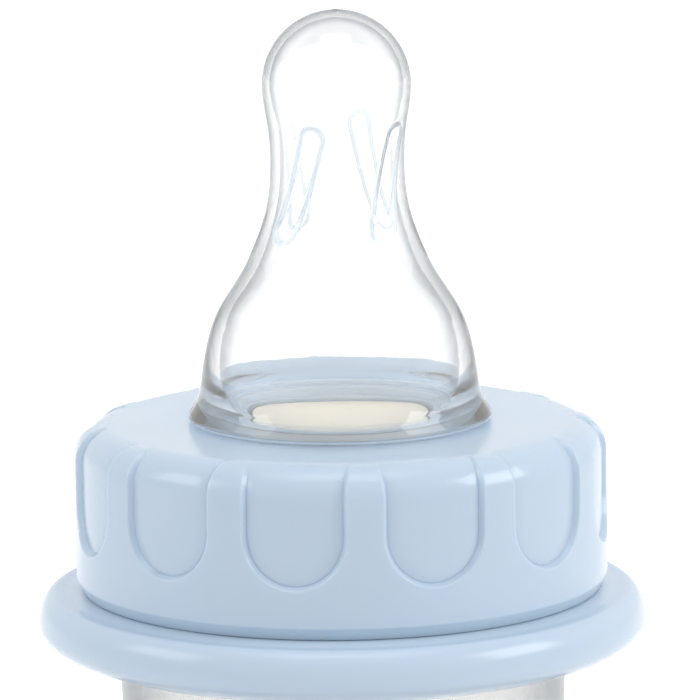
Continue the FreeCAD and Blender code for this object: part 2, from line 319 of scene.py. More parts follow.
@dataclass(frozen=True)
class MouldedSkin:
    """A moulded plastic or rubber: two close shades, a fine grain and an uneven gloss."""

    name: str
    shade: str
    second_shade: str
    roughness: tuple[float, float]
    ior: float
    cloud_mm: float  # width of the slow changes of shade
    grain_mm: float  # width of the fine grain
    grain_depth_mm: float
    transmission: float = 0.0
    lets_through: float = 0.0  # share of the lamps' light that passes straight through
    edge_shade: str = ""  # painted shade at grazing angles: a dark outline that stands in for the darker surroundings seen through a clear wall
    edge_span: tuple[float, float] = (0.38, 0.85)  # facing where the painted shade starts, and where it is whole
    milky: str = ""  # attribute that says where a clear wall turns milky, and where light is painted on it
    # shade of the milky places: their own pale tone with a painted reflection of what stands round them
    milk_shade: str = "FFFFFF"
    milk_whole: float = 0.08  # value of the attribute from which that shade is whole
    subsurface: float = 0.0
    subsurface_mm: tuple[float, float, float] = (1.0, 1.0, 1.0)
    seam_mm: float = 0.0  # width of the mould's parting line, where there is one
    seam_depth_mm: float = 0.08
    seam_strength: float = 0.6
    gloss_span: tuple[float, float] = (0.1, 0.9)  # values of the slow noise that the gloss follows

    def make(self) -> bpy.types.Material:
        """Build the material.

        Returns:
            The new material.
        """
        material, tree = blank_material(self.name)
        place = add_node(tree, "ShaderNodeTexCoord")
        cloud = add_node(
            tree,
            "ShaderNodeTexNoise",
            inputs={"Vector": (place, "Object"), "Scale": 1 / (self.cloud_mm * MM), "Detail": 2.0},
        )
        shades = add_node(
            tree,
            "ShaderNodeMix",
            {"data_type": "RGBA"},
            {0: (cloud, 0), MIX_A: colour(self.shade), MIX_B: colour(self.second_shade)},
        )
        # painted shade darkens the outline at grazing angles
        if self.edge_shade:
            shades = self.add_edge_shade(tree, shades)
        clearness = self.transmission
        # milky places turn less clear and take their shade, which holds a painted reflection
        if self.milky:
            milky_and_painted = add_node(tree, "ShaderNodeAttribute", {"attribute_name": self.milky})
            shades = self.add_milk(tree, milky_and_painted, shades)
            clearness = self.add_cloudiness(tree, milky_and_painted)
        grain = add_node(
            tree,
            "ShaderNodeTexNoise",
            inputs={"Vector": (place, "Object"), "Scale": 1 / (self.grain_mm * MM), "Detail": 3.0},
        )
        gloss = add_node(
            tree,
            "ShaderNodeMapRange",
            inputs={
                "Value": (cloud, 0),
                "From Min": self.gloss_span[0],
                "From Max": self.gloss_span[1],
                "To Min": self.roughness[0],
                "To Max": self.roughness[1],
            },
        )
        relief = add_node(
            tree,
            "ShaderNodeBump",
            inputs={"Strength": 1.0, "Distance": self.grain_depth_mm * MM, "Height": (grain, 0)},
        )
        if self.seam_mm:
            relief = self.add_seam(tree, place, relief)
        shader = add_node(
            tree,
            "ShaderNodeBsdfPrincipled",
            inputs={
                "Base Color": (shades, MIX_RESULT),
                "Roughness": (gloss, 0),
                "IOR": self.ior,
                "Transmission Weight": clearness,
                "Subsurface Weight": self.subsurface,
                "Subsurface Radius": self.subsurface_mm,
                "Subsurface Scale": MM,
                "Normal": (relief, 0),
            },
        )
        if self.lets_through:
            shader = self.add_shadow(tree, shader)
        add_node(tree, "ShaderNodeOutputMaterial", inputs={"Surface": (shader, 0)})
        return material

    def add_milk(
        self, tree: bpy.types.NodeTree, milky_and_painted: bpy.types.Node, shades: bpy.types.Node
    ) -> bpy.types.Node:
        """Mix in the milky places' shade: their own pale tone, with a painted reflection of what stands round
        them.

        Args:
            tree: The material's tree.
            milky_and_painted: The node that says how milky a place is, and how much painted light it takes.
            shades: The node that holds the colour so far.

        Returns:
            The node that holds the colour with it.
        """
        share = add_node(
            tree,
            "ShaderNodeMapRange",
            inputs={
                "Value": (milky_and_painted, "Fac"),
                "From Min": 0.0,
                "From Max": self.milk_whole,
                "To Min": 0.0,
                "To Max": 1.0,
            },
        )
        return add_node(
            tree,
            "ShaderNodeMix",
            {"data_type": "RGBA"},
            {0: (share, 0), MIX_A: (shades, MIX_RESULT), MIX_B: colour(self.milk_shade)},
        )

    def add_cloudiness(self, tree: bpy.types.NodeTree, milky_and_painted: bpy.types.Node) -> tuple[bpy.types.Node, int]:
        """Make the wall less clear where the attribute is set, both where it is milky and where light is
        painted, and give its transmission as a link's start.
        """
        inputs = {"Value": (milky_and_painted, "Fac"), "To Min": self.transmission, "To Max": 0.0}
        return add_node(tree, "ShaderNodeMapRange", inputs=inputs), 0

    def add_edge_shade(self, tree: bpy.types.NodeTree, shades: bpy.types.Node) -> bpy.types.Node:
        """Paint shade on a clear wall where a ray enters it at a grazing angle: a dark outline that stands in
        for the darker surroundings seen through it.

        Args:
            tree: The material's tree.
            shades: The node that mixes the two close shades.

        Returns:
            The node that mixes in the painted shade.
        """
        facing = add_node(tree, "ShaderNodeLayerWeight", inputs={"Blend": 0.5})
        grazing = add_node(
            tree,
            "ShaderNodeMapRange",
            {"interpolation_type": "SMOOTHSTEP"},
            {
                "Value": (facing, "Facing"),
                "From Min": self.edge_span[0],
                "From Max": self.edge_span[1],
                "To Min": 0.0,
                "To Max": 1.0,
            },
        )
        side = add_node(tree, "ShaderNodeNewGeometry")
        entering = add_node(
            tree, "ShaderNodeMath", {"operation": "SUBTRACT"}, {0: 1.0, 1: (side, "Backfacing")}
        )
        share = add_node(
            tree, "ShaderNodeMath", {"operation": "MULTIPLY"}, {0: (grazing, 0), 1: (entering, 0)}
        )
        return add_node(
            tree,
            "ShaderNodeMix",
            {"data_type": "RGBA"},
            {0: (share, 0), MIX_A: (shades, MIX_RESULT), MIX_B: colour(self.edge_shade)},
        )

    def add_shadow(self, tree: bpy.types.NodeTree, shader: bpy.types.Node) -> bpy.types.Node:
        """Let the lamps' light through to what lies behind, as clear walls do.

        Args:
            tree: The material's tree.
            shader: The shader so far.

        Returns:
            The shader that casts a pale shadow.
        """
        path = add_node(tree, "ShaderNodeLightPath")
        share = self.lets_through
        clear = add_node(tree, "ShaderNodeBsdfTransparent", inputs={0: (share, share, share, 1.0)})
        return add_node(
            tree, "ShaderNodeMixShader", inputs={0: (path, "Is Shadow Ray"), 1: (shader, 0), 2: (clear, 0)}
        )

    def add_seam(
        self, tree: bpy.types.NodeTree, place: bpy.types.Node, relief: bpy.types.Node
    ) -> bpy.types.Node:
        """Add the line where the mould's two halves met, in the plane of X and Z.

        Args:
            tree: The material's tree.
            place: Its coordinates.
            relief: The relief so far.

        Returns:
            The relief with the line.
        """
        parts = add_node(tree, "ShaderNodeSeparateXYZ", inputs={0: (place, "Object")})
        off = add_node(tree, "ShaderNodeMath", {"operation": "ABSOLUTE"}, {0: (parts, 1)})
        line = add_node(
            tree,
            "ShaderNodeMapRange",
            {"interpolation_type": "SMOOTHSTEP"},
            {
                "Value": (off, 0),
                "From Min": 0.0,
                "From Max": self.seam_mm * MM,
                "To Min": 1.0,
                "To Max": 0.0,
            },
        )
        return add_node(
            tree,
            "ShaderNodeBump",
            inputs={
                "Strength": self.seam_strength,
                "Distance": self.seam_depth_mm * MM,
                "Height": (line, 0),
                "Normal": (relief, 0),
            },
        )


class Finish(Enum):
    """The object's finishes, each named for what it is made of and how."""

    # Injection-moulded polypropylene, coloured in the mass: an even pale blue with a soft gloss,
    # a trace of light under the skin, and a mould polish too fine to see except in highlights.
    BLUE = MouldedSkin(
        name="moulded polypropylene, pale blue",
        shade="C3D4E4",
        second_shade="BED0E2",
        roughness=(0.16, 0.22),
        ior=1.49,
        cloud_mm=14.0,
        grain_mm=0.45,
        grain_depth_mm=0.004,
        subsurface=0.35,
        subsurface_mm=(0.8, 1.1, 1.6),
    )
    # Liquid silicone rubber, polished mould: water-clear, with faint flow marks that only bend
    # what is seen through it.
    # Painted shade darkens its outline at grazing angles; its milky foot and seat carry a painted reflection
    # of the blue ring, and painted lines along the pads' outlines stand in for the light that their edges
    # bend.
    SILICONE = MouldedSkin(
        name="liquid silicone rubber, clear",
        shade="FFFFFF",
        second_shade="FDFEFF",
        roughness=(0.0, 0.03),
        ior=1.41,
        cloud_mm=9.0,
        grain_mm=3.0,
        grain_depth_mm=0.012,
        transmission=0.94,
        lets_through=0.97,
        # painted shade for the outline at grazing angles
        edge_shade="4D5B66",
        milky="haze",
        # pale tone of milky silicone with a painted reflection of the blue ring
        milk_shade="D9E4EE",
    )
    # Blow-moulded natural polypropylene: milky and see-through, with a satin skin and the line
    # where the mould closed.
    NATURAL = MouldedSkin(
        name="blow-moulded polypropylene, natural",
        shade="FFFFFE",
        second_shade="FBFCFC",
        roughness=(0.22, 0.3),
        ior=1.49,
        cloud_mm=18.0,
        grain_mm=0.8,
        grain_depth_mm=0.012,
        transmission=0.93,
        lets_through=0.85,
        # painted shade: a grey outline at grazing angles, in place of the surroundings seen through the wall
        edge_shade="A3AEB6",
        subsurface=0.6,
        subsurface_mm=(2.0, 2.0, 2.0),
        seam_mm=0.35,
    )
    # Injection-moulded polypropylene, cream: an even satin that lights up a little from within.
    CREAM = MouldedSkin(
        name="moulded polypropylene, cream",
        shade="ECE1CD",
        second_shade="E8DDC9",
        roughness=(0.38, 0.48),
        ior=1.49,
        cloud_mm=10.0,
        grain_mm=0.5,
        grain_depth_mm=0.006,
        subsurface=0.4,
        subsurface_mm=(1.6, 1.4, 1.1),
    )
    # Pad-printed ink: a thin matt film with slightly uneven cover.
    INK = MouldedSkin(
        name="pad-printed ink, grey blue",
        shade="6F8FB4",
        second_shade="7C9ABD",
        roughness=(0.5, 0.62),
        ior=1.5,
        cloud_mm=1.5,
        grain_mm=0.2,
        grain_depth_mm=0.004,
    )


class Wardrobe:
    """Makes each finish once and dresses pieces in it."""

    def __init__(self) -> None:
        """Start with no materials made."""
        self.made: dict[Finish, bpy.types.Material] = {}

    def material(self, finish: Finish) -> bpy.types.Material:
        """Give a finish's material, making it at first use."""
        if finish not in self.made:
            self.made[finish] = finish.value.make()
        return self.made[finish]

    def dress(self, piece: bpy.types.Object, finish: Finish, body: str, slot: str) -> None:
        """Give a piece its material and its body.

        Args:
            piece: The piece.
            finish: What it is made of.
            body: The body that it rides on.
            slot: The record's material slot. Not used.
        """
        piece.data.materials.clear()
        piece.data.materials.append(self.material(finish))
        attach(piece, body)
        log.info("%s: %d faces, on %s, %s", piece.name, len(piece.data.polygons), body, finish.value.name)


# --- Geometry Nodes ----------------------------------------------------------------------------


@dataclass
class NodeRecipe:
    """A Geometry Nodes tree with named inputs, run once on an empty mesh to make a piece."""

    name: str
    sizes: dict[str, float]
    tree: bpy.types.NodeTree = field(init=False)
    source: bpy.types.Node = field(init=False)

    def __post_init__(self) -> None:
        """Make the tree and its sockets."""
        self.tree = bpy.data.node_groups.new(self.name, "GeometryNodeTree")
        face = self.tree.interface
        face.new_socket("Geometry", in_out="OUTPUT", socket_type="NodeSocketGeometry")
        face.new_socket("Geometry", in_out="INPUT", socket_type="NodeSocketGeometry")
        face.new_socket("Material", in_out="INPUT", socket_type="NodeSocketMaterial")
        for size in self.sizes:
            face.new_socket(size, in_out="INPUT", socket_type="NodeSocketFloat")
        self.source = add_node(self.tree, "NodeGroupInput")

    def node(self, kind: str, settings: dict | None = None, inputs: dict | None = None) -> bpy.types.Node:
        """Add a node to the tree."""
        return add_node(self.tree, kind, settings, inputs)

    def given(self, size: str) -> tuple[bpy.types.Node, str]:
        """Name one of the tree's inputs as a link's start."""
        return self.source, size

    def math(self, operation: str, first: object, second: object = 0.0) -> tuple[bpy.types.Node, int]:
        """Add a sum and give its result as a link's start."""
        node = self.node("ShaderNodeMath", {"operation": operation}, {0: first, 1: second})
        return node, 0

    def run(
        self, last: bpy.types.Node, material: bpy.types.Material, start: bpy.types.Mesh | None = None
    ) -> bpy.types.Object:
        """Close the tree, run it and keep the result as a plain mesh.

        Args:
            last: The node whose first output is the finished shape.
            material: The material that the shape is set to.
            start: The mesh that the tree starts from, if it needs one.

        Returns:
            The new piece.
        """
        real = self.node("GeometryNodeRealizeInstances", inputs={0: (last, 0)})
        dressed = self.node(
            "GeometryNodeSetMaterial", inputs={"Geometry": (real, 0), "Material": self.given("Material")}
        )
        self.node("NodeGroupOutput", inputs={0: (dressed, 0)})
        maker = bpy.data.objects.new(self.name, start or bpy.data.meshes.new(self.name))
        bpy.context.scene.collection.objects.link(maker)
        modifier = maker.modifiers.new(self.name, "NODES")
        modifier.node_group = self.tree
        for item in self.tree.interface.items_tree:
            if item.in_out == "INPUT" and item.name in self.sizes:
                modifier[item.identifier] = float(self.sizes[item.name])
            if item.in_out == "INPUT" and item.name == "Material":
                modifier[item.identifier] = material
        graph = bpy.context.evaluated_depsgraph_get()
        mesh = bpy.data.meshes.new_from_object(maker.evaluated_get(graph))
        bpy.data.objects.remove(maker)
        mesh.name = self.name
        piece = bpy.data.objects.new(self.name, mesh)
        bpy.context.scene.collection.objects.link(piece)
        return piece


class Facing(Enum):
    """Which way a thread's rib stands."""

    OUTWARD = 1
    INWARD = -1


@dataclass
class Thread:
    """One thread's rib, which climbs anticlockwise."""

    name: str
    wall_radius: float
    facing: Facing
    root: float
    crest: float
    turns: float
    start: float  # height of its lower end
    over_x: float  # height at which its path crosses the +X direction
    lead: float
    height: float = 1.1
    overlap: float = 0.3  # how far it reaches into the wall
    steps: int = 96  # in each turn

    def make(self, material: bpy.types.Material) -> bpy.types.Object:
        """Sweep the rib's section along its helix.

        Args:
            material: What the rib is made of.

        Returns:
            The new piece.
        """
        side = self.facing.value
        recipe = NodeRecipe(
            self.name,
            {
                "Turns": self.turns,
                "Path Radius": (self.wall_radius - side * self.overlap) * MM,
                "Rise": self.lead * self.turns * MM,
                "Start Angle": 2 * math.pi * (self.start - self.over_x) / self.lead,
                "Start Height": self.start * MM,
                "Root": self.root * MM,
                "Crest": self.crest * MM,
                "Depth": side * (self.height + self.overlap) * MM,
            },
        )
        path = recipe.node(
            "GeometryNodeCurveSpiral",
            inputs={
                "Resolution": self.steps,
                "Rotations": recipe.given("Turns"),
                "Start Radius": recipe.given("Path Radius"),
                "End Radius": recipe.given("Path Radius"),
                "Height": recipe.given("Rise"),
            },
        )
        upright = recipe.node("GeometryNodeSetCurveNormal", {"mode": "Z_UP"}, {"Curve": (path, 0)})
        turned = recipe.node("ShaderNodeCombineXYZ", inputs={2: recipe.given("Start Angle")})
        raised = recipe.node("ShaderNodeCombineXYZ", inputs={2: recipe.given("Start Height")})
        placed = recipe.node(
            "GeometryNodeTransform",
            inputs={"Geometry": (upright, 0), "Translation": (raised, 0), "Rotation": (turned, 0)},
        )
        section = self.section(recipe)
        swept = recipe.node(
            "GeometryNodeCurveToMesh",
            inputs={"Curve": (placed, 0), "Profile Curve": (section, 0), "Fill Caps": True},
        )
        return recipe.run(swept, material)

    def section(self, recipe: NodeRecipe) -> bpy.types.Node:
        """Add the rib's trapezium, its depth along the path's own X axis.

        Args:
            recipe: The tree that gets it.

        Returns:
            The node that holds it.
        """
        half_root = recipe.math("MULTIPLY", recipe.given("Root"), 0.5)
        half_crest = recipe.math("MULTIPLY", recipe.given("Crest"), 0.5)
        low_root = recipe.math("MULTIPLY", half_root, -1.0)
        low_crest = recipe.math("MULTIPLY", half_crest, -1.0)
        depth = recipe.given("Depth")
        first_corner = 7  # place of the first of the four among the last node's inputs
        corners = []
        for across, up in ((0.0, low_root), (depth, low_crest), (depth, half_crest), (0.0, half_root)):
            corners.append(recipe.node("ShaderNodeCombineXYZ", inputs={0: across, 1: up}))
        inputs = {i: (corner, 0) for i, corner in enumerate(corners, start=first_corner)}
        return recipe.node("GeometryNodeCurvePrimitiveQuadrilateral", {"mode": "POINTS"}, inputs)


# --- The object --------------------------------------------------------------------------------


@dataclass
class ScrewRing:
    """The pale blue ring: round-ended grip recesses outside, a thread inside."""

    wardrobe: Wardrobe
    corner: float = 2.95  # round between the skirt and the flat top
    bevel: tuple[float, float] = (0.6, 1.1)  # width and height, at the foot
    edge_round: float = 0.14  # how far the round of each small edge reaches
    top_wall: float = 1.8
    skirt_wall: float = 2.55
    hole_radius: float = 12.8
    recesses: int = 12
    recess_half_width: float = 4.48
    recess_depth: float = 0.5
    recess_length: float = 10.5
    recess_edge: float = 0.17  # half the width of the step round each recess
    recess_groove: float = 0.07  # depth of the fine groove where each recess's floor meets the step
    groove_share: float = 0.6  # half its width, as a share of recess_edge
    first_recess: float = -100.0
    skirt_margin: float = 0.3  # bevel up to the stretches that hold the recesses
    flat_run: float = 1.0  # part of the flat top that these stretches take in
    joint_bands: tuple[float, float] = (0.05, 0.8)  # join them to the bevel, and to the flat top
    floor_ripples: tuple[float, ...] = (0.0, 1.6, 3.0)
    edge_steps: int = 4
    skirt_steps: int = 3
    corner_steps: int = 12
    side_steps: int = 8
    end_steps: int = 20
    columns: int = 288
    sharp: float = 50.0
    thread_rise: float = 1.4
    thread_root: float = 1.9
    thread_crest: float = 1.0
    thread_turns: float = 2.0

    def __post_init__(self) -> None:
        """Read the ring's place from the frame."""
        self.radius, self.bottom, self.top = node_span("screw_ring")
        self.bore = self.radius - self.skirt_wall
        self.skirt_foot = self.bottom + self.bevel[1] + self.skirt_margin
        self.skirt = self.top - self.corner - self.skirt_foot

    def side(self, along: float) -> tuple[float, float]:
        """Find a point of the ring's side by how far up its outline it lies.

        Args:
            along: Distance up the skirt from above the bevel, over the corner and on to the top.

        Returns:
            Its distance from the axis and its height.
        """
        skirt = self.skirt
        quarter = self.corner * math.pi / 2
        if along <= skirt:
            return self.radius, self.skirt_foot + along
        if along <= skirt + quarter:
            angle = (along - skirt) / self.corner
            reach = self.radius - self.corner * (1 - math.cos(angle))
            return reach, self.top - self.corner * (1 - math.sin(angle))
        return self.radius - self.corner - (along - skirt - quarter), self.top

    def place(self, across: float, along: float, sunk: float, centre: float, half: float) -> tuple:
        """Place one corner of a recess's stretch of the side.

        Args:
            across: Distance sideways from the recess's middle line.
            along: Distance up the outline.
            sunk: How far it is sunk below the ring's surface.
            centre: Direction of the recess, in radians.
            half: Half the stretch's width, at the skirt.

        Returns:
            The corner's coordinates.
        """
        reach, height = self.side(along)
        narrowest = self.radius - self.corner
        at_border = abs(across) > 0.999 * half
        if at_border:
            angle = math.copysign(math.pi / self.recesses, across)
        else:
            angle = math.asin(across / max(reach, narrowest))
        reach -= sunk
        return reach * math.cos(centre + angle), reach * math.sin(centre + angle), height

    def ripples(self, half: float) -> list[float]:
        """List how far from a recess's middle the corners of its stretch lie.

        Args:
            half: Half the stretch's width.

        Returns:
            The distances. They are closest on the step round the recess.
        """
        edge, width, steps = self.recess_edge, self.recess_half_width, self.edge_steps
        on_step = [width + edge * i / steps for i in range(-steps, steps + 1)]
        return [*self.floor_ripples, width - 2 * edge, *on_step, width + 2 * edge, half]

    def lines(self, middle: float, half: float) -> list[tuple[float, float, float]]:
        """List the lines that run outward from a recess's middle: left, round its end, right.

        Args:
            middle: Distance up the outline to the centre of the recess's round end.
            half: Half the stretch's width.

        Returns:
            Each line's direction, sideways and upward, and the distance up the outline to its start.
        """
        skirt, quarter = self.skirt, self.corner * math.pi / 2
        ups = [middle + (skirt - middle) * i / self.skirt_steps for i in range(1, self.skirt_steps + 1)]
        ups += [skirt + quarter * i / self.corner_steps for i in range(1, self.corner_steps + 1)]
        ups += [skirt + quarter + self.flat_run]
        low_corner = math.atan2(middle, half)
        end_turn = math.pi - 2 * low_corner
        turns = [-math.pi + low_corner * i / self.side_steps for i in range(self.side_steps)]
        turns += [-math.pi + low_corner + end_turn * i / self.end_steps for i in range(self.end_steps)]
        turns += [-low_corner + low_corner * i / self.side_steps for i in range(self.side_steps + 1)]
        left = [(-1.0, 0.0, up) for up in reversed(ups)]
        end = [(math.cos(a), math.sin(a), middle) for a in turns]
        return left + end + [(1.0, 0.0, up) for up in ups]

    def stretch(self, build: bmesh.types.BMesh, centre: float) -> None:
        """Add the stretch of the side that holds one recess.

        The corners lie on lines that run round the recess like the ripples round its outline: down
        one side, round the end and up the other.

        Args:
            build: The mesh.
            centre: Direction of the recess, in radians.
        """
        flat_start = self.skirt + self.corner * math.pi / 2
        middle = self.top - self.recess_length + self.recess_half_width - self.skirt_foot
        half = self.radius * math.sin(math.pi / self.recesses)
        edge, width = self.recess_edge, self.recess_half_width
        ripples = self.ripples(half)
        grid = []
        for across, down, up in self.lines(middle, half):
            fade = 1 - eased(up, flat_start, flat_start + self.flat_run)
            row = []
            for ripple in ripples:
                step = ripple
                if ripple == half and down < -TINY:
                    step = min(half / max(abs(across), TINY), middle / -down)
                off_groove = abs(ripple - width + edge) / (self.groove_share * edge)
                groove = max(1 - off_groove, 0.0) * self.recess_groove
                sunk = fade * (self.recess_depth * (1 - eased(ripple, width - edge, width + edge)) + groove)
                spot = self.place(across * step, up + down * step, sunk, centre, half)
                row.append(build.verts.new(spot))
            grid.append(row)
        for one, two in zip(grid, grid[1:]):
            for i in range(len(ripples) - 1):
                build.faces.new((one[i], one[i + 1], two[i + 1], two[i]))

    def make_shell(self) -> bpy.types.Object:
        """Build the ring without its thread.

        Returns:
            The new piece.
        """
        build = bmesh.new()
        step = 2 * math.pi / self.recesses
        for i in range(self.recesses):
            self.stretch(build, math.radians(self.first_recess) + i * step)
        bmesh.ops.remove_doubles(build, verts=build.verts, dist=2 * SAME_CORNER)
        halfway = (self.skirt_foot + self.top) / 2
        border = [edge for edge in build.edges if edge.is_boundary]
        low = [edge for edge in border if edge.verts[0].co.z < halfway]
        high = [edge for edge in border if edge.verts[0].co.z > halfway]
        angles = even_angles(self.columns)
        underside = self.top - self.top_wall
        corners = [
            (self.radius, self.skirt_foot - self.joint_bands[0]),
            (self.radius, self.bottom + self.bevel[1]),
            (self.radius - self.bevel[0], self.bottom),
            (self.bore, self.bottom),
            (self.bore, underside),
            (self.hole_radius, underside),
            (self.hole_radius, self.top),
            (self.radius - self.corner - self.flat_run - self.joint_bands[1], self.top),
        ]
        rings = [ring_of(build, angles, point) for point in softened(corners, self.edge_round)]
        for lower, upper in zip(rings, rings[1:]):
            join_rings(build, lower, upper)
        for loose, rim in ((low, rings[0]), (high, rings[-1])):
            count = len(rim)
            own = [build.edges.get((rim[i], rim[(i + 1) % count])) for i in range(count)]
            bmesh.ops.bridge_loops(build, edges=loose + own)
        return finish_mesh(build, "screw_ring_shell", self.sharp)

    def make(self, threads: dict[str, float]) -> None:
        """Build and dress the ring and its thread.

        Args:
            threads: Heights that the neck's and the ring's threads share.
        """
        shell = self.make_shell()
        self.wardrobe.dress(shell, Finish.BLUE, "ring", "blue_plastic")
        thread = Thread(
            "screw_ring_thread",
            self.bore,
            Facing.INWARD,
            root=self.thread_root,
            crest=self.thread_crest,
            turns=self.thread_turns,
            start=self.bottom + self.thread_rise,
            over_x=threads["neck_start"] - threads["lead"] / 2,
            lead=threads["lead"],
        ).make(self.wardrobe.material(Finish.BLUE))
        self.wardrobe.dress(thread, Finish.BLUE, "ring", "blue_plastic")
        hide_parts("screw_ring")


@dataclass
class Collar:
    """The pale blue collar on the neck, under the ring."""

    wardrobe: Wardrobe
    bore: float = 20.15
    edge: float = 2.75  # flat top down to the widest edge
    top_margin: float = 1.8  # how far the flat top reaches past the ring
    underside_radius: float = 21.3
    land_gap: float = 0.015  # raised seat under the ring, to the ring's foot
    land_reach: float = 0.9  # how far the seat's foot spreads past the ring
    land_inset: float = 0.45  # how far inside the ring's edge the seat's flat ends
    top_run: float = 0.3  # outer stretch of the flat top
    lip: float = 0.35  # round at the inner edges
    neck_radius: float = 20.0
    bead: float = 0.95  # groove for the neck's bead
    bead_turn: float = 80.0  # half the groove's arc, in degrees
    bore_drop: float = 1.0  # flat top down to the groove
    columns: int = 288

    def make(self) -> None:
        """Build and dress the collar."""
        radius, bottom, top = node_span("collar")
        ring_radius, ring_bottom, _ = node_span("screw_ring")
        flat = ring_radius + self.top_margin
        middle = (top + bottom) / 2
        edge = top - self.edge
        belly, crown = radius - self.underside_radius, radius - flat
        outline = arc((self.underside_radius, edge), belly, -90, 0, 24, (edge - bottom) / belly)
        outline += arc((flat, edge), crown, 0, 90, 20, self.edge / crown)[1:]
        land = ring_bottom - self.land_gap
        inner = [
            (flat - self.top_run, top),
            (ring_radius + self.land_reach, top),
            (ring_radius - self.land_inset, land),
            (self.bore, land),
            (self.bore, top - self.bore_drop),
        ]
        outline += softened(inner, self.lip)
        outline += arc((self.neck_radius, middle), self.bead, self.bead_turn, -self.bead_turn, 10)
        outline += [(self.bore, bottom + self.lip), (self.bore + self.lip, bottom)]
        piece = turn("collar_flange", outline, self.columns)
        self.wardrobe.dress(piece, Finish.BLUE, "bottle", "blue_plastic")
        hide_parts("collar")


